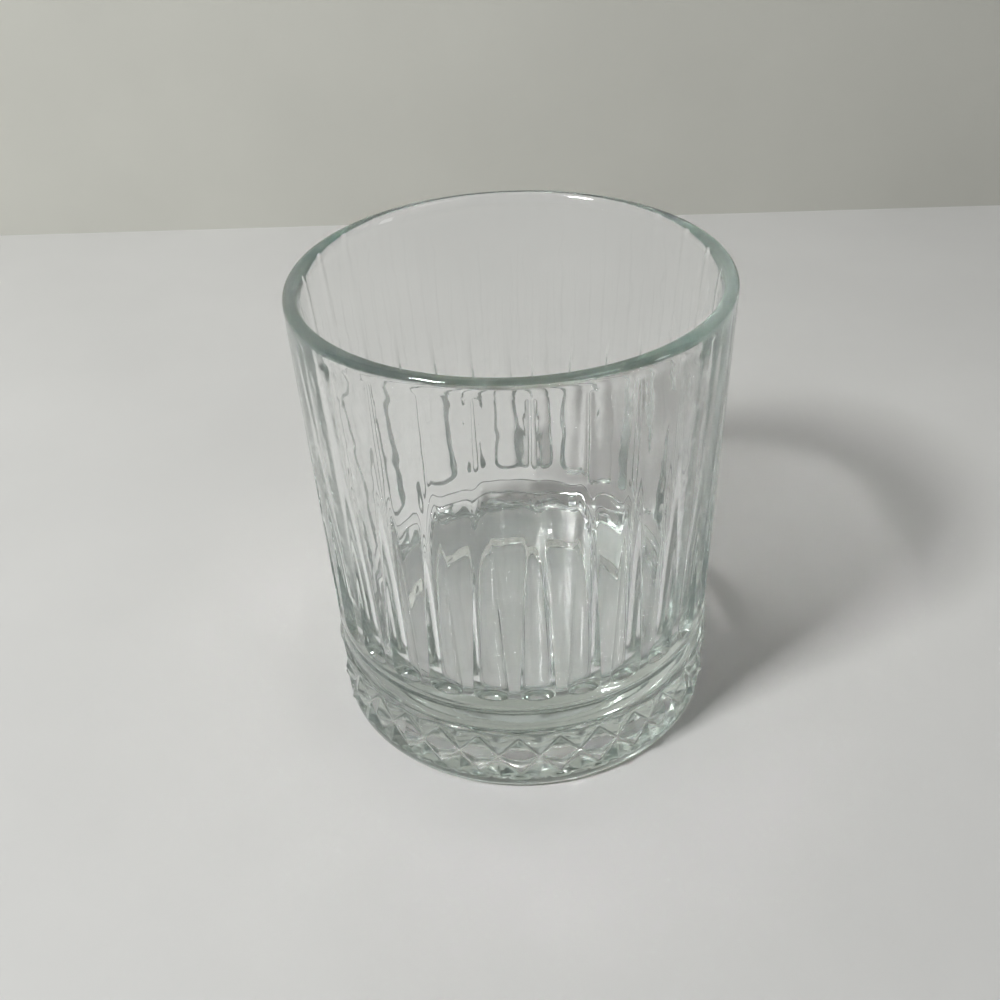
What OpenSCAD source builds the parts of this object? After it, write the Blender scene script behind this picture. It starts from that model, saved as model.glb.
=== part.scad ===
// Rocks glass: a pressed tumbler with tapering flutes over a band of diamond points.
// The glass stands on Z = 0, centred on the Z axis, and a flute is centred on the front, at -Y.

/* [Overall] */
// Height from the standing face to the top of the rim
glass_h = 95; // [88:1:110]
// Outside diameter at the rim
rim_d = 84; // [81:0.5:92]
// Outside diameter of the wall where it meets the shoulder ring
wall_foot_d = 79.6; // [78:0.2:82]

/* [Wall and rim] */
// Thickness of the wall at the rim
rim_t = 3.2; // [2.4:0.1:4]
// Thickness of the wall at the inside floor, outside the flutes
wall_t = 5.8; // [5:0.1:6.6]
// Height of the plain rim above the flutes
rim_h = 3; // [2.4:0.1:8]

/* [Inside] */
// How far the inside floor lies below the top of the shoulder ring
floor_drop = 1.4; // [0:0.1:3]
// Radius between the wall and the inside floor
floor_round = 5; // [2:0.5:8]

/* [Flutes] */
// Number of flutes round the wall
flute_count = 28; // [20:1:30]
// Width of a flute at its lower end
flute_foot_w = 7.1; // [5.6:0.1:7.6]
// Width of a flute under the rim
flute_top_w = 0.6; // [0.4:0.1:3]
// Depth of a flute at its lower end
flute_foot_depth = 1.9; // [1:0.05:2.3]
// Radius round the lower end of a flute
flute_end_round = 2.2; // [1:0.1:2.6]
// Plain strip of wall between the shoulder ring and the flutes
flute_gap = 3; // [1:0.1:6]

/* [Shoulder ring] */
// Height of the shoulder ring
shoulder_h = 6.2; // [3:0.1:9]
// How far the lower edge of the shoulder ring lies inside the foot of the wall
shoulder_inset = 0.6; // [0:0.05:0.8]
// How far the shoulder ring swells out between its edges
shoulder_swell = 0.5; // [0.2:0.05:1]

/* [Diamond band] */
// Number of diamonds round the band
diamond_count = 30; // [20:1:36]
// Height of the band
band_h = 12.4; // [8:0.2:15]
// How far the points of the diamonds stand out past the foot of the wall
band_proud = 0.5; // [0.2:0.05:1.2]
// Depth of the grooves between the diamonds
diamond_depth = 1.2; // [0.8:0.05:1.6]
// Flat left on the point of each diamond, from its middle to its edge
diamond_table = 0.3; // [0.1:0.05:0.8]
// Plain border above the diamonds
band_border = 1.7; // [1.2:0.1:2.4]
// Plain border below the diamonds
band_foot_border = 0.5; // [0.3:0.1:1]

/* [Base and foot] */
// Height of the foot ring
foot_h = 2.8; // [2.6:0.1:6]
// How far the foot ring lies inside the foot of the wall
foot_inset = 0.1; // [0:0.05:0.6]
// Radius round the outer edge of the standing face
foot_round = 1.6; // [0.8:0.1:2.4]
// Radius round the inner edge of the standing face
recess_round = 0.8; // [0.4:0.1:1.2]
// Depth of the recess under the base
recess_depth = 1.6; // [1:0.1:2.4]

/* [Hidden] */
clear_glass = [0.80, 0.88, 0.86, 0.55];
thick_glass = [0.62, 0.76, 0.72, 0.75];
front = -90;
past = 1;
arc_steps = 12;
end_steps = 4;
$fn = 180;
cutter_fn = 72;

// Heights of the joints between the zones
band_z0 = foot_h;
band_z1 = band_z0 + band_h;
shoulder_z1 = band_z1 + shoulder_h;
rim_z0 = glass_h - rim_h;

// The wall's foot carries the other radii of the base
wall_foot_r = wall_foot_d / 2;
shoulder_foot_r = wall_foot_r - shoulder_inset;
band_r = wall_foot_r + band_proud;
foot_r = wall_foot_r - foot_inset;

// The rim is a full round
lip_r = rim_t / 2;
lip_z = glass_h - lip_r;

// Outside of the wall, a straight taper that reaches the rim's diameter where the lip turns over
wall_slope = (rim_d / 2 - wall_foot_r) / (lip_z - shoulder_z1);
function wall_r(z) = wall_foot_r + wall_slope * (z - shoulder_z1);

// Inside of the wall, a steeper taper, so that the wall thickens towards the floor
floor_z = shoulder_z1 - floor_drop;
fillet_z = floor_z + floor_round;
inner_foot_r = wall_r(fillet_z) - wall_t;
inner_slope = (rim_d / 2 - rim_t - inner_foot_r) / (lip_z - fillet_z);
function inner_r(z) = inner_foot_r + inner_slope * (z - fillet_z);

// The fillet's centre, set so that the fillet touches both the wall and the floor
fillet_r = inner_foot_r - floor_round * sqrt(1 + inner_slope * inner_slope);
fillet_end = -atan(inner_slope);

// The heavy base lies under the flat of the floor, and the rings stand round it
core_r = fillet_r;

function arc_points(centre_r, centre_z, radius, from, to, steps = arc_steps) = [
    for (i = [0 : steps])
        let (a = from + (to - from) * i / steps)
        [centre_r + radius * cos(a), centre_z + radius * sin(a)]
];

// Radius of a round cutter that leaves a flute of this half width and depth in a wall of this radius
function cutter_r(half_w, depth, radius) =
    let (below_chord = depth - radius + sqrt(radius * radius - half_w * half_w))
    (half_w * half_w + below_chord * below_chord) / (2 * below_chord);

// The flute cutter is a cone that leans with the wall and runs on past the joint with the rim,
// and the flute keeps its proportions as it narrows
flute_top_depth = flute_foot_depth * flute_top_w / flute_foot_w;
flute_z0 = shoulder_z1 + flute_gap;
cut_r0 = cutter_r(flute_foot_w / 2, flute_foot_depth, wall_r(flute_z0));
cut_r1 = cutter_r(flute_top_w / 2, flute_top_depth, wall_r(rim_z0));
cut_axis0 = wall_r(flute_z0) - flute_foot_depth + cut_r0;
cut_axis1 = wall_r(rim_z0) - flute_top_depth + cut_r1;
cut_rise = rim_z0 - flute_z0;
cut_len = norm([cut_axis1 - cut_axis0, cut_rise]);
cut_lean = atan((cut_axis1 - cut_axis0) / cut_rise);
cut_taper = (cut_r1 - cut_r0) / cut_len;
cut_round_r = cut_r0 + cut_taper * flute_end_round - flute_end_round;
cut_end_r = cut_r1 + cut_taper * past;

// The grooves between diamonds cross at their mid height, a pitch apart, and end just past their points
diamond_pitch = 360 / diamond_count;
half_wide = band_r * sin(diamond_pitch / 2);
half_high = (band_h - band_border - band_foot_border) / 2;
groove_lean = atan(half_wide / half_high);
groove_len = 2 * (norm([half_wide, half_high]) + past);
point_reach = half_wide * half_high / norm([half_wide, half_high]) - diamond_table;
point_drop = band_r * (1 - cos(diamond_pitch / 2));
groove_half_w = point_reach / (1 - point_drop / diamond_depth);

// Hollow of the glass, from the floor up
module cavity()
    rotate_extrude()
        polygon(concat(
            [[0, floor_z]],
            arc_points(fillet_r, fillet_z, floor_round, -90, fillet_end),
            [[inner_r(glass_h), glass_h], [0, glass_h]]
        ));

// Cutter for one flute, standing in front of the wall on the +X side
module flute_cutter()
    translate([cut_axis0, 0, flute_z0])
        rotate([0, cut_lean, 0])
            rotate_extrude($fn = cutter_fn)
                polygon(concat(
                    [[0, 0]],
                    arc_points(cut_round_r, flute_end_round, flute_end_round, -90, 0, end_steps),
                    [[cut_end_r, cut_len + past], [0, cut_len + past]]
                ));

// Every other flute round the wall, so that neighbouring cutters stay apart
module alternate_flutes(first)
    for (i = [first : 2 : flute_count - 1])
        rotate([0, 0, front + i * 360 / flute_count])
            flute_cutter();

// Straight V groove across the band, leaning to one side, on the +X side
module groove(side)
    translate([0, 0, band_z0 + band_foot_border + half_high])
        rotate([side * groove_lean, 0, 0])
            linear_extrude(height = groove_len, center = true)
                polygon([
                    [band_r - diamond_depth, 0],
                    [band_r + past, -groove_half_w * (1 + past / diamond_depth)],
                    [band_r + past, groove_half_w * (1 + past / diamond_depth)]
                ]);

// Fire-polished lip
module rim()
    color(clear_glass)
        rotate_extrude()
            polygon(concat(
                [[inner_r(rim_z0), rim_z0], [wall_r(rim_z0), rim_z0]],
                arc_points(rim_d / 2 - lip_r, lip_z, lip_r, 0, 180)
            ));

// Tapered wall before it is fluted
module plain_wall()
    difference() {
        rotate_extrude()
            polygon([
                [core_r, shoulder_z1],
                [wall_foot_r, shoulder_z1],
                [wall_r(rim_z0), rim_z0],
                [core_r, rim_z0]
            ]);
        cavity();
    }

// Tapered wall with its flutes, cut in two passes
module fluted_wall()
    color(clear_glass)
        difference() {
            difference() {
                plain_wall();
                alternate_flutes(0);
            }
            alternate_flutes(1);
        }

// Plain ring that swells out between the wall and the diamonds
module shoulder_ring()
    color(thick_glass)
        difference() {
            rotate_extrude()
                polygon(concat(
                    [[core_r, shoulder_z1], [core_r, band_z1]],
                    [
                        for (i = [0 : arc_steps])
                            let (t = i / arc_steps)
                            [
                                shoulder_foot_r * (1 - t) + wall_foot_r * t + shoulder_swell * sin(180 * t),
                                band_z1 + shoulder_h * t
                            ]
                    ]
                ));
            cavity();
        }

// Band of diamond points, left standing between two families of crossing grooves
module diamond_band()
    color(thick_glass)
        difference() {
            rotate_extrude()
                polygon([
                    [core_r, band_z0],
                    [band_r, band_z0],
                    [band_r, band_z1],
                    [core_r, band_z1]
                ]);
            for (i = [0 : diamond_count - 1], side = [-1, 1])
                rotate([0, 0, front + i * diamond_pitch])
                    groove(side);
        }

// Thick solid bottom, with the inside floor above and the recess below
module heavy_base()
    color(thick_glass)
        translate([0, 0, recess_depth])
            cylinder(h = floor_z - recess_depth, r = core_r);

// Ring that the glass stands on
module foot_ring()
    color(thick_glass)
        rotate_extrude()
            polygon(concat(
                [[core_r, foot_h]],
                arc_points(core_r + recess_round, recess_round, recess_round, 180, 270),
                arc_points(foot_r - foot_round, foot_round, foot_round, -90, 0),
                [[foot_r, foot_h]]
            ));

rim();
fluted_wall();
shoulder_ring();
diamond_band();
heavy_base();
foot_ring();
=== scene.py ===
"""Looks of the rocks glass: one continuous body of pressed glass on a pale floor, under soft light."""
import math

import bpy
import numpy as np
from mathutils import Matrix, Vector


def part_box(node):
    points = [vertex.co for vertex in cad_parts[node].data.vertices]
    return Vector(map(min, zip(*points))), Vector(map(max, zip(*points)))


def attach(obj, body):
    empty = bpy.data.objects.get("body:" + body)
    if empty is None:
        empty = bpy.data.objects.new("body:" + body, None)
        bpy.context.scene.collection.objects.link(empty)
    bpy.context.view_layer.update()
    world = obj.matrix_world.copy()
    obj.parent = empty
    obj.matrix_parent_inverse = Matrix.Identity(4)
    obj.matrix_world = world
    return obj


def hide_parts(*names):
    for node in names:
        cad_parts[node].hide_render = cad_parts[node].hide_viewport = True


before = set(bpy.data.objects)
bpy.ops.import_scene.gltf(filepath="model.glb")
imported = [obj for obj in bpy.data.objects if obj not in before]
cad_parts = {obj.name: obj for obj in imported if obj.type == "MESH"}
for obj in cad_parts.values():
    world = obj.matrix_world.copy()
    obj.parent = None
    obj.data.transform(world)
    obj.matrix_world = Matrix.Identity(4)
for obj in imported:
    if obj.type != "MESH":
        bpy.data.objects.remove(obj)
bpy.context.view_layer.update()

MM = 0.001               # metres in a millimetre


def zone(node):
    """Lowest height, highest height and outside radius of one zone of the glass, in millimetres."""
    low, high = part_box(node)
    return low[2] / MM, high[2] / MM, high[0] / MM


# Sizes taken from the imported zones, in millimetres as all the sizes below
rim_z0, glass_h, rim_r = zone("rim")
shoulder_z1 = zone("fluted_wall")[0]
band_z0, band_z1, band_r = zone("diamond_band")
core_r = zone("heavy_base")[2]
foot_r = zone("foot_ring")[2]

# Grid of the mesh: fine columns serve the flutes and the diamonds, coarse ones the plain surfaces
flute_count = 28
diamond_count = 30
fine_columns = flute_count * diamond_count
column_step = 5
coarse_columns = fine_columns // column_step
flute_share = 2 / 3      # share of a sector's columns that lie inside its flute
land_crowding = 1.5      # how much closer the columns between two flutes lie at the flutes' edges
slide_gap = 0.7          # plain strip over the shoulder ring before the columns start to slide
slide_in = 2.0           # height over which they slide to the flutes' edges
slide_out = 9.0          # height under the rim over which they slide back
axis_share = 0.1         # radius of the ring nearest the axis, as a share of the flat round it

# Wall, rim and inside
rim_t = 3.2
wall_t = 5.8
wall_foot_r = 39.8
floor_z = 20.0
floor_round = 5.0
floor_crown = 0.25       # how far the floor sinks at its middle
lip_r = rim_t / 2
lip_out_tall = 1.6       # heights of the lip's outer and inner curves
lip_in_tall = 3.7
lip_z = glass_h - lip_r

# Flutes
flute_foot_w = 7.1
flute_top_w = 0.6
flute_foot_steep = math.radians(52)
flute_top_steep = math.radians(6)
fade_from = 0.25         # shares of a flute's length where its edges start to fade and have faded
fade_to = 0.75
flute_end_round = 2.2
flute_edge = 0.2         # depth over which a flute's edge is rounded
flute_gap = 3.0
flute_z0 = shoulder_z1 + flute_gap
narrowest_flute = math.radians(1.2)
runout_slope = 4         # slope of the cutter's side past the widest part of its circle

# Shoulder ring
shoulder_foot_r = 39.2
shoulder_swell = 0.3
crease_depth = 0.3
crease_half_w = 0.6
shoulder_join = 0.2      # depth over which the crease between diamonds and ring is rounded
shoulder_clear = 1.5     # height over the diamonds from which the ring stands alone

# Diamonds
diamond_depth = 1.2
band_border = 1.7
band_foot_border = 0.5
border_fill = 0.75       # share of a groove's depth that fills up in the upper border
turn_in_gap = 0.1        # height over the band where its upper edge turns in, and the slope there
turn_in_slope = 1.3
half_wide = math.pi * band_r / diamond_count
half_high = (band_z1 - band_z0 - band_border - band_foot_border) / 2
diamond_z = band_z0 + band_foot_border + half_high
groove_lean = math.atan2(half_wide, half_high)
groove_flat = 2 * half_wide * diamond_count / fine_columns

# Foot and recess
foot_round = 1.6
recess_round = 0.8
recess_depth = 1.6
recess_crown = 0.5       # how far the recess rises at its middle
recess_margin = 0.6      # strip of the recess left for the turn into the foot
foot_rows_z = 2.1        # height where the foot's coarse rows end

# Share of the fine grain of the base and the rim in the relief of the surface
grain_share = 0.1

# Turn of the camera, stage and lamps about the glass, whose flutes are centred on the front of the frame
round_the_glass = Matrix.Rotation(math.radians(-3.6), 4, "Z")


def arc(centre_r, centre_z, radius, start, stop, count):
    """Points on a circle of the (radius, height) plane, from one angle to another, in degrees."""
    turn = np.radians(np.linspace(start, stop, count))
    return np.stack([centre_r + radius * np.cos(turn), centre_z + radius * np.sin(turn)], axis=1)


def wall_radius(z):
    """Outside of the wall: a straight taper from the shoulder ring to the turn of the lip."""
    return wall_foot_r + (rim_r - wall_foot_r) * (z - shoulder_z1) / (lip_z - shoulder_z1)


def inner_radius(z):
    """Inside of the wall: a steeper taper, so that the wall thickens towards the floor."""
    fillet_z = floor_z + floor_round
    foot = wall_radius(fillet_z) - wall_t
    return foot + (rim_r - rim_t - foot) * (z - fillet_z) / (lip_z - fillet_z)


def round_join(a, b, width, sign):
    """The smaller (sign 1) or larger (sign -1) of two radii, with the crease between them rounded off."""
    near = np.clip(1 - np.abs(a - b) / width, 0, None)
    pick = np.minimum(a, b) if sign > 0 else np.maximum(a, b)
    return pick - sign * near ** 2 * width / 4


def fold(angle, count):
    """Angle from the middle of the nearest of `count` equal sectors, the first centred on the front."""
    pitch = 2 * math.pi / count
    return (angle + pitch / 2) % pitch - pitch / 2


def ease(x):
    """Soft step from 0 to 1."""
    x = np.clip(x, 0, 1)
    return x * x * (3 - 2 * x)


def flute_cone(z):
    """Half width of a flute, then the distance from the axis and the radius of its cone, at height z.

    The half width w runs from its value at the flute's foot to that under the rim, and the steepness of
    the flute's edges fades with the height. With R the wall's radius there, a cone of radius
    c = w / sin(steepness) meets the wall at both edges when its middle is sqrt(R^2 - w^2) + sqrt(c^2 - w^2)
    from the axis.
    """
    rise = np.clip((z - flute_z0) / (rim_z0 - flute_z0), 0, 1)
    w = (flute_foot_w + (flute_top_w - flute_foot_w) * rise) / 2
    faded = ease((rise - fade_from) / (fade_to - fade_from))
    steep = flute_foot_steep + (flute_top_steep - flute_foot_steep) * faded
    c = w / np.sin(steep)
    return w, np.sqrt(wall_radius(z) ** 2 - w ** 2) + np.sqrt(c ** 2 - w ** 2), c


def fluted_radius(angle, z):
    """Radius of the fluted wall.

    At height z the cone that cuts a flute is a circle of radius c whose centre is a away from the axis, so
    along the direction t from the flute's middle its near side is at a cos t - sqrt(c^2 - a^2 sin^2 t).
    The surface is the smaller of that and the wall's own radius, with the edge between them rounded.
    At the lower end the circle closes in along a quarter round.
    """
    w, a, c = flute_cone(z)
    short = np.clip(flute_end_round - (z - flute_z0), 0, flute_end_round)
    c = c - flute_end_round + np.sqrt(flute_end_round ** 2 - short ** 2)
    t = fold(angle, flute_count)
    aside = np.abs(a * np.sin(t))
    reach = np.sqrt(np.clip(c ** 2 - aside ** 2, 0, None))
    near_side = a * np.cos(t) - reach + runout_slope * np.clip(aside - c, 0, None)
    wall = wall_radius(z) + 0 * angle
    cut = np.where((z > flute_z0) & (z < rim_z0), near_side, wall + flute_edge)
    return round_join(wall, cut, flute_edge, 1)


def column_angles(z):
    """Angle of every fine column at every height.

    The columns are even round the base and the rim. Over the wall they slide sideways, so that in each
    flute's sector two thirds of them lie inside the flute, closest together at its edges, and the same
    column runs along an edge from end to end.
    """
    even = np.arange(fine_columns)[None, :] * 2 * math.pi / fine_columns
    half_pitch = math.pi / flute_count
    from_z = np.maximum(z, flute_z0 + flute_end_round)
    half = np.maximum(np.arcsin(flute_cone(from_z)[0] / wall_radius(from_z)), narrowest_flute)
    aside = fold(even, flute_count)
    step = np.abs(aside) / half_pitch
    within = half * np.sin(math.pi / 2 * np.clip(step / flute_share, 0, 1))
    beyond = (half_pitch - half) * np.clip((step - flute_share) / (1 - flute_share), 0, 1) ** land_crowding
    slid = np.sign(aside) * (within + beyond)
    share = ease((z - shoulder_z1 - slide_gap) / slide_in) * ease((rim_z0 - z) / slide_out)
    return even + share * (slid - aside)


def diamond_radius(angle, z):
    """Radius of the diamond band.

    Two families of straight grooves lean to the left and to the right and cross at mid height, one pitch
    apart. With s the distance along the band and t the height over its middle, a groove of one family runs
    along s = t tan(lean), repeated every pitch, so the distance to it is |fold(s - t tan(lean))| cos(lean).
    The glass rises from the flat bottom of the nearer groove in proportion to that distance. Above and
    below the points of the grooves t stays at its end value, so each half diamond runs straight on to its
    border. Towards the upper border the grooves fill up, and the edge there is turned in to the shoulder
    ring.
    """
    over = np.clip(z - diamond_z, -half_high, half_high) * math.tan(groove_lean) / band_r
    left = np.abs(fold(angle - over, diamond_count))
    right = np.abs(fold(angle + over, diamond_count))
    away = np.minimum(left, right) * band_r * math.cos(groove_lean)
    flat = groove_flat * math.cos(groove_lean)
    climb = np.clip((away - flat) / (half_wide * math.cos(groove_lean) - flat), 0, 1)
    fill = border_fill * ease((z - diamond_z - half_high) / band_border)
    climb = climb + (1 - climb) * fill
    turned_in = band_r - turn_in_slope * np.clip(z - band_z1 - turn_in_gap, 0, None)
    return np.minimum(band_r - diamond_depth * (1 - climb), turned_in)


def shoulder_radius(z):
    """Profile of the shoulder ring: a swell of half a sine wave that tucks under at the diamonds."""
    t = (z - band_z1) / (shoulder_z1 - band_z1)
    straight = shoulder_foot_r + (wall_foot_r - shoulder_foot_r) * t
    return straight + shoulder_swell * np.sin(math.pi * np.clip(t, -0.3, 1))


def foot_radius(z):
    """Profile of the foot: a quarter round at the bottom, then straight."""
    short = np.clip(foot_round - z, 0, foot_round)
    return foot_r - foot_round + np.sqrt(foot_round ** 2 - short ** 2)


def outer_rows():
    """Heights of the fine rows of the outside, close together where the surface turns quickly.

    Over the diamonds the rows are spaced so that a groove crosses one column from each row to the next.
    """
    lattice_rows = fine_columns // diamond_count + 1
    return np.concatenate([
        [band_z0 - 0.35, band_z0, band_z0 + 0.25],
        np.linspace(diamond_z - half_high, diamond_z + half_high, lattice_rows),
        np.linspace(diamond_z + half_high + 0.35, band_z1 + 1.3, 10),
        np.linspace(band_z1 + 1.8, shoulder_z1 - crease_half_w - 0.3, 6),
        shoulder_z1 + crease_half_w * np.array([-1.0, -0.5, 0.0, 0.5, 1.0]),
        [flute_z0 - 1.2, flute_z0 - 0.4, flute_z0 - 0.1],
        flute_z0 + flute_end_round * (1 - np.cos(np.radians(np.linspace(8, 90, 10)))),
        np.linspace(flute_z0 + flute_end_round + 1.0, rim_z0 - 1.0, 18),
        [rim_z0 - 0.5, rim_z0 - 0.15, rim_z0 + 0.1],
    ])


def outer_radius(angle, z):
    """Radius of the outside at every angle and height: foot, diamonds, shoulder ring and fluted wall."""
    foot = foot_radius(np.minimum(z, band_z0)) + 0 * angle
    diamonds = diamond_radius(angle, z)
    shoulder = shoulder_radius(z) + 0 * angle
    low_blend = np.clip((z - band_z0) / band_foot_border, 0, 1)
    lower = foot * (1 - low_blend) + diamonds * low_blend
    upper = np.where(z >= shoulder_z1, fluted_radius(angle, z), shoulder)
    joined = round_join(lower, shoulder, shoulder_join, -1)
    radius = np.where(z < diamond_z + half_high, lower, joined)
    crease = crease_depth * np.clip(1 - np.abs(z - shoulder_z1) / crease_half_w, 0, 1)
    return np.where(z > band_z1 + shoulder_clear, upper - crease, radius)


def spin(profile, columns):
    """Points of a plain profile of (radius, height) pairs, turned about the axis in equal columns."""
    angle = np.arange(columns) * 2 * math.pi / columns
    r, z = profile[:, :1], profile[:, 1:]
    return np.stack([r * np.sin(angle), -r * np.cos(angle), z + 0 * angle], axis=-1)


def outside_points():
    """Points of the outside on the fine columns."""
    z = outer_rows()[:, None]
    angle = column_angles(z)
    r = outer_radius(angle, z)
    return np.stack([r * np.sin(angle), -r * np.cos(angle), z + 0 * angle], axis=-1)


def underside_profile():
    """Recess under the base, from its middle out to the standing face."""
    across = np.linspace(axis_share, 1, 8)[:, None] * (core_r - recess_margin)
    height = recess_depth + recess_crown * (1 - (across / core_r) ** 2)
    recess = np.concatenate([across, height], axis=1)
    edge = arc(core_r + recess_round, recess_round, recess_round, 180, 270, 6)
    flat_r = np.linspace(core_r + recess_round + 0.8, foot_r - foot_round, 3)[:, None]
    return np.concatenate([recess, edge, np.concatenate([flat_r, 0 * flat_r], axis=1)])


def foot_profile():
    """Outside of the foot, from the standing face up to just under the diamonds."""
    height = np.append(foot_round * (1 - np.cos(np.radians(np.linspace(15, 90, 6)))), foot_rows_z)
    return np.stack([foot_radius(height), height], axis=1)


def inside_profile():
    """Fire-polished lip, then the inside of the wall, the fillet and the floor, down to near its middle."""
    slope = math.atan2(inner_radius(glass_h) - inner_radius(floor_z), glass_h - floor_z)
    fillet_z = floor_z + floor_round
    fillet_r = inner_radius(fillet_z) - floor_round / math.cos(slope)
    lip = arc(rim_r - lip_r, 0, lip_r, 0, 180, 19)
    tall = np.where(lip[:, 0] > rim_r - lip_r, lip_out_tall, lip_in_tall)
    lip[:, 1] = glass_h - tall + lip[:, 1] * tall / lip_r
    height = np.linspace(glass_h - lip_in_tall - 2, fillet_z + 1, 16)
    wall = np.stack([inner_radius(height), height], axis=1)
    fillet = arc(fillet_r, fillet_z, floor_round, -math.degrees(slope), -90, 14)
    across = np.linspace(0.95, axis_share, 8)[:, None] * fillet_r
    floor = np.concatenate([across, floor_z + floor_crown * ((across / fillet_r) ** 2 - 1)], axis=1)
    return np.concatenate([lip, wall, fillet, floor])


def grid_faces(first, rows, columns):
    """Quads between neighbouring rows of a closed grid whose points start at index `first`."""
    i = np.arange(rows - 1)[:, None]
    j = np.arange(columns)[None, :]
    j2 = (j + 1) % columns
    corners = [i * columns + j, i * columns + j2, (i + 1) * columns + j2, (i + 1) * columns + j]
    return (first + np.stack(corners, axis=-1)).reshape(-1, 4).tolist()


def creased_faces(first, points):
    """Triangles between neighbouring rows of a closed grid, each quad split along its leveller diagonal."""
    rows, columns = points.shape[:2]
    r = np.hypot(points[..., 0], points[..., 1])
    i = np.arange(rows - 1)[:, None]
    j = np.arange(columns)[None, :]
    j2 = (j + 1) % columns
    a, b, c, d = i * columns + j, i * columns + j2, (i + 1) * columns + j2, (i + 1) * columns + j
    r_a, r_b, r_c, r_d = r[i, j], r[i, j2], r[i + 1, j2], r[i + 1, j]
    level = (np.abs(r_a - r_c) <= np.abs(r_b - r_d))[..., None]
    one = np.where(level, np.stack([a, b, c], axis=-1), np.stack([a, b, d], axis=-1))
    two = np.where(level, np.stack([a, c, d], axis=-1), np.stack([b, c, d], axis=-1))
    return (first + np.concatenate([one, two], axis=1)).reshape(-1, 3).tolist()


def step_faces(fine_first, coarse_first, fine_below):
    """Polygons that join a row of fine columns to a row of coarse ones, each across a few fine columns."""
    j = np.arange(coarse_columns)[:, None]
    fine = fine_first + (j * column_step + np.arange(column_step + 1)) % fine_columns
    coarse = coarse_first + np.concatenate([(j + 1) % coarse_columns, j], axis=1)
    if not fine_below:
        fine, coarse = fine[:, ::-1], coarse[:, ::-1]
    return np.concatenate([fine, coarse], axis=1).tolist()


def cap_faces(first, columns, centre, flip):
    """Triangles from a row to one point on the axis."""
    j = np.arange(columns)
    fan = np.stack([first + j, first + (j + 1) % columns, np.full(columns, centre)], axis=1)
    return (fan[:, ::-1] if flip else fan).tolist()


def make_glass():
    """The whole glass as one closed mesh: underside, outside, lip and inside, sewn row to row."""
    under = spin(np.concatenate([underside_profile(), foot_profile()]), coarse_columns)
    outside = outside_points()
    inside = spin(inside_profile(), coarse_columns)
    under_axis = np.array([[0, 0, recess_depth + recess_crown]])
    floor_axis = np.array([[0, 0, floor_z - floor_crown]])
    blocks = [under.reshape(-1, 3), outside.reshape(-1, 3), inside.reshape(-1, 3), under_axis, floor_axis]
    starts = np.cumsum([0] + [len(b) for b in blocks])
    out_last = starts[2] - fine_columns
    in_last = starts[3] - coarse_columns
    faces = cap_faces(starts[0], coarse_columns, starts[3], True)
    faces += grid_faces(starts[0], len(under), coarse_columns)
    faces += step_faces(starts[1], starts[1] - coarse_columns, False)
    faces += creased_faces(starts[1], outside)
    faces += step_faces(out_last, starts[2], True)
    faces += grid_faces(starts[2], len(inside), coarse_columns)
    faces += cap_faces(in_last, coarse_columns, starts[4], False)
    mesh = bpy.data.meshes.new("tumbler_glass")
    mesh.from_pydata((np.concatenate(blocks) * MM).tolist(), [], faces)
    mesh.polygons.foreach_set("use_smooth", np.ones(len(faces), dtype=bool))
    mesh.update()
    piece = bpy.data.objects.new("tumbler_glass", mesh)
    bpy.context.collection.objects.link(piece)
    return piece


def pressed_glass():
    """Clear pressed glass: faint green-grey in depth, with the slow ripple that the mould leaves."""
    material = bpy.data.materials.new("pressed_glass")
    material.use_nodes = True
    nodes, links = material.node_tree.nodes, material.node_tree.links
    shader = nodes["Principled BSDF"]
    shader.inputs["Base Color"].default_value = (1.0, 1.0, 1.0, 1.0)
    shader.inputs["Transmission Weight"].default_value = 1.0
    shader.inputs["IOR"].default_value = 1.52
    shader.inputs["Roughness"].default_value = 0.0
    depth_tint = nodes.new("ShaderNodeVolumeAbsorption")
    depth_tint.inputs["Color"].default_value = (0.40, 0.52, 0.47, 1.0)
    depth_tint.inputs["Density"].default_value = 9.0
    links.new(depth_tint.outputs["Volume"], nodes["Material Output"].inputs["Volume"])
    place = nodes.new("ShaderNodeTexCoord")
    ripple = nodes.new("ShaderNodeTexNoise")
    ripple.inputs["Scale"].default_value = 160.0
    ripple.inputs["Detail"].default_value = 1.0
    links.new(place.outputs["Object"], ripple.inputs["Vector"])
    bump = nodes.new("ShaderNodeBump")
    bump.inputs["Strength"].default_value = 0.12
    bump.inputs["Distance"].default_value = 0.0004
    grain = nodes.new("ShaderNodeTexNoise")
    grain.inputs["Scale"].default_value = 900.0
    grain.inputs["Detail"].default_value = 2.0
    links.new(place.outputs["Object"], grain.inputs["Vector"])
    along = nodes.new("ShaderNodeSeparateXYZ")
    links.new(place.outputs["Object"], along.inputs["Vector"])
    where = nodes.new("ShaderNodeValToRGB")
    where.color_ramp.elements[0].position = shoulder_z1 * MM
    where.color_ramp.elements[0].color = (grain_share, grain_share, grain_share, 1.0)
    where.color_ramp.elements[1].position = (glass_h - lip_in_tall) * MM
    where.color_ramp.elements[1].color = (grain_share, grain_share, grain_share, 1.0)
    where.color_ramp.elements.new((shoulder_z1 + 1.0) * MM).color = (0.0, 0.0, 0.0, 1.0)
    where.color_ramp.elements.new((glass_h - lip_in_tall - 1.0) * MM).color = (0.0, 0.0, 0.0, 1.0)
    links.new(along.outputs["Z"], where.inputs["Fac"])
    height = nodes.new("ShaderNodeMath")
    height.operation = "MULTIPLY_ADD"
    links.new(grain.outputs["Fac"], height.inputs[0])
    links.new(where.outputs["Color"], height.inputs[1])
    links.new(ripple.outputs["Fac"], height.inputs[2])
    links.new(height.outputs["Value"], bump.inputs["Height"])
    links.new(bump.outputs["Normal"], shader.inputs["Normal"])
    return material


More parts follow.
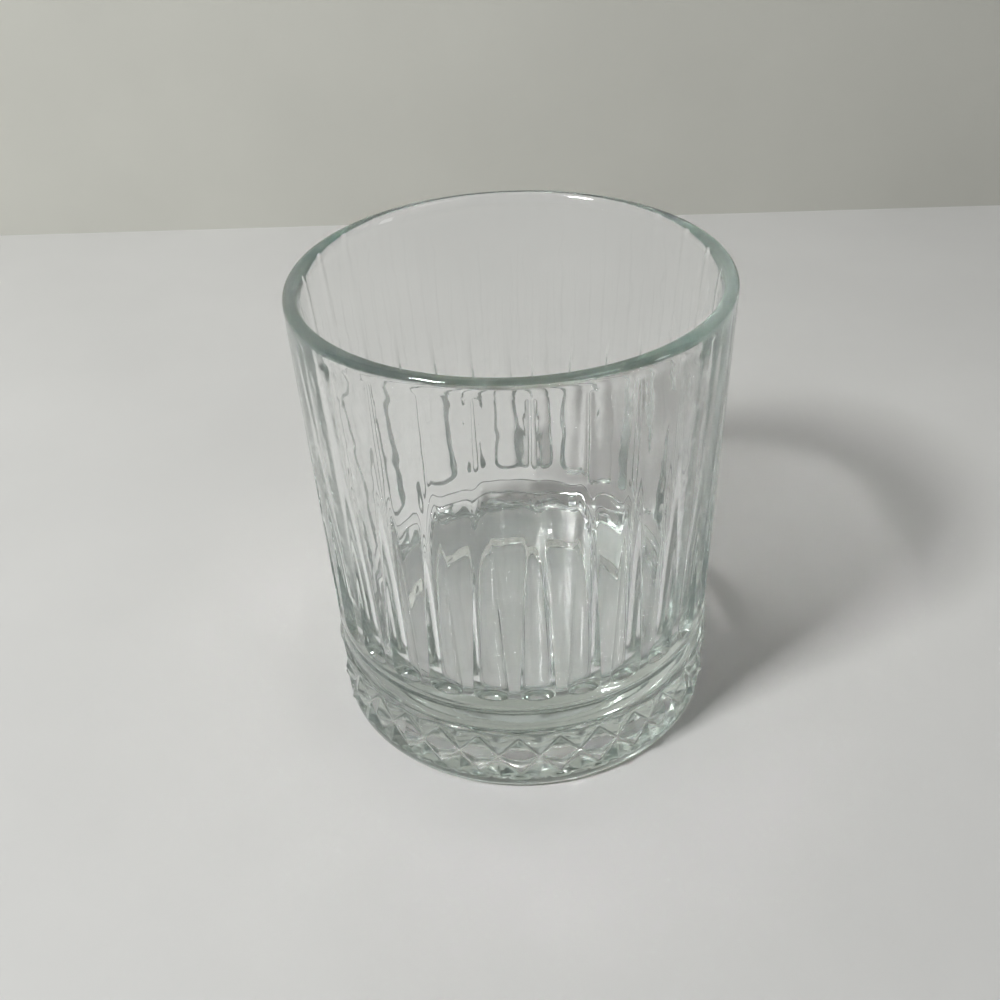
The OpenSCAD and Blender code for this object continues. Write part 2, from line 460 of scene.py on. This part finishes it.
def stage_material(name, colour, speckle, roughness, axis, painted_light_falloff):
    """Painted or laminate surface: one pale colour, a little cloudy, with painted light that makes it
    slowly lighter or darker along one axis.
    """
    material = bpy.data.materials.new(name)
    material.use_nodes = True
    nodes, links = material.node_tree.nodes, material.node_tree.links
    shader = nodes["Principled BSDF"]
    shader.inputs["Roughness"].default_value = roughness
    place = nodes.new("ShaderNodeTexCoord")
    cloud = nodes.new("ShaderNodeTexNoise")
    cloud.inputs["Scale"].default_value = 14.0
    cloud.inputs["Detail"].default_value = 6.0
    links.new(place.outputs["Object"], cloud.inputs["Vector"])
    ramp = nodes.new("ShaderNodeValToRGB")
    ramp.color_ramp.elements[0].position = 0.3
    ramp.color_ramp.elements[1].position = 0.7
    ramp.color_ramp.elements[0].color = tuple(c * (1 - speckle) for c in colour) + (1.0,)
    ramp.color_ramp.elements[1].color = tuple(c * (1 + speckle) for c in colour) + (1.0,)
    links.new(cloud.outputs["Fac"], ramp.inputs["Fac"])
    along = nodes.new("ShaderNodeSeparateXYZ")
    links.new(place.outputs["Object"], along.inputs["Vector"])
    # Painted light: the colour is scaled slowly along one axis, lighter where more light would fall and
    # darker where less
    share = nodes.new("ShaderNodeMapRange")
    share.inputs["From Min"].default_value = -0.3
    share.inputs["From Max"].default_value = 0.3
    share.inputs["To Min"].default_value = painted_light_falloff[0]
    share.inputs["To Max"].default_value = painted_light_falloff[1]
    links.new(along.outputs[axis], share.inputs["Value"])
    faded = nodes.new("ShaderNodeVectorMath")
    faded.operation = "SCALE"
    links.new(ramp.outputs["Color"], faded.inputs[0])
    links.new(share.outputs["Result"], faded.inputs["Scale"])
    links.new(faded.outputs["Vector"], shader.inputs["Base Color"])
    return material


def make_plane(name, corners, material):
    """One flat four-cornered piece of the stage."""
    mesh = bpy.data.meshes.new(name)
    mesh.from_pydata(corners, [], [(0, 1, 2, 3)])
    mesh.materials.append(material)
    mesh.update()
    piece = bpy.data.objects.new(name, mesh)
    bpy.context.collection.objects.link(piece)
    piece.matrix_world = round_the_glass
    return piece


def make_stage():
    """Pale floor, a hair below the standing face, that ends at a plain backdrop."""
    half, back, skew, low, tall = 3.0, 0.2605, 0.027, -0.00015, 1.2
    near, far = back + half * skew, back - half * skew
    # Painted light falloff: the floor is painted lighter towards the back, and the backdrop darker towards
    # the right
    floor = stage_material("pale_floor", (0.61, 0.61, 0.60), 0.03, 0.45, "Y", (0.94, 1.16))
    wall = stage_material("pale_backdrop", (0.58, 0.58, 0.53), 0.03, 0.8, "X", (1.10, 0.82))
    floor_corners = [(-half, -half, low), (half, -half, low), (half, far, low), (-half, near, low)]
    wall_corners = [(-half, near, low), (half, far, low), (half, far, tall), (-half, near, tall)]
    make_plane("floor", floor_corners, floor)
    make_plane("backdrop", wall_corners, wall)


def soft_lamp(name, place, aim, width, height, power):
    """Rectangular soft lamp at a place, turned to its aim."""
    lamp = bpy.data.lights.new(name, "AREA")
    lamp.shape = "RECTANGLE"
    lamp.size, lamp.size_y = width, height
    lamp.energy = power
    piece = bpy.data.objects.new(name, lamp)
    bpy.context.collection.objects.link(piece)
    facing = (Vector(aim) - Vector(place)).to_track_quat("-Z", "Y").to_matrix().to_4x4()
    piece.matrix_world = round_the_glass @ Matrix.Translation(place) @ facing
    return piece


def make_room():
    """Dim room, brighter overhead than at eye level, as under a pale ceiling."""
    world = bpy.data.worlds.new("soft_room")
    bpy.context.scene.world = world
    world.use_nodes = True
    nodes, links = world.node_tree.nodes, world.node_tree.links
    place = nodes.new("ShaderNodeTexCoord")
    height = nodes.new("ShaderNodeSeparateXYZ")
    links.new(place.outputs["Generated"], height.inputs["Vector"])
    ramp = nodes.new("ShaderNodeValToRGB")
    ramp.color_ramp.elements[0].position = 0.05
    ramp.color_ramp.elements[1].position = 0.85
    ramp.color_ramp.elements[0].color = (0.09, 0.091, 0.09, 1.0)
    ramp.color_ramp.elements[1].color = (0.15, 0.152, 0.15, 1.0)
    links.new(height.outputs["Z"], ramp.inputs["Fac"])
    links.new(ramp.outputs["Color"], nodes["Background"].inputs["Color"])


def make_light():
    """Soft key from the front left, a low window on the right, a high fill and a dim room."""
    make_room()
    aim = (0.0, 0.0, 0.05)
    soft_lamp("key_lamp", (-0.46, -0.39, 0.72), aim, 0.16, 0.16, 6.8)
    soft_lamp("window_lamp", (0.95, -0.30, 0.32), aim, 0.15, 0.25, 0.35)
    soft_lamp("fill_lamp", (0.70, -0.60, 1.20), aim, 0.5, 0.5, 1.2)


def turn(vector, axis, degrees):
    """A vector turned about an axis."""
    return Matrix.Rotation(math.radians(degrees), 3, axis) @ vector


def make_camera():
    """Camera of the photo's view: it looks down at the glass, a little off its middle and tilted."""
    focal_share, pitch, roll = 1.225, 33.6, 2.16
    distance, aim_height = 0.252, 0.050
    swing, dip = 0.84, -1.2
    p = math.radians(pitch)
    forward = Vector((0, math.cos(p), -math.sin(p)))
    right = Vector((1, 0, 0))
    up = Vector((0, math.sin(p), math.cos(p)))
    place = Vector((0, 0, aim_height)) - forward * distance
    forward, right = turn(forward, up, swing), turn(right, up, swing)
    forward, up = turn(forward, right, dip), turn(up, right, dip)
    right, up = turn(right, forward, roll), turn(up, forward, roll)
    axes = Matrix((right, up, -forward)).transposed()
    lens = bpy.data.cameras.new("camera")
    lens.sensor_width = 36.0
    lens.lens = lens.sensor_width * focal_share
    lens.clip_start = 0.01
    camera = bpy.data.objects.new("camera", lens)
    bpy.context.collection.objects.link(camera)
    camera.matrix_world = round_the_glass @ Matrix.Translation(place) @ axes.to_4x4()
    bpy.context.scene.camera = camera


glass = make_glass()
glass.data.materials.append(pressed_glass())
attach(glass, "root")
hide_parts("rim", "fluted_wall", "shoulder_ring", "diamond_band", "heavy_base", "foot_ring")

make_stage()
make_light()
make_camera()
bpy.context.scene.view_settings.view_transform = "Standard"

# Light crosses many faces in the glass, and what it throws on the floor is smoothed
paths = bpy.context.scene.cycles
paths.max_bounces = 32
paths.glossy_bounces = 32
paths.transmission_bounces = 32
paths.sample_clamp_indirect = 0
paths.blur_glossy = 0.226
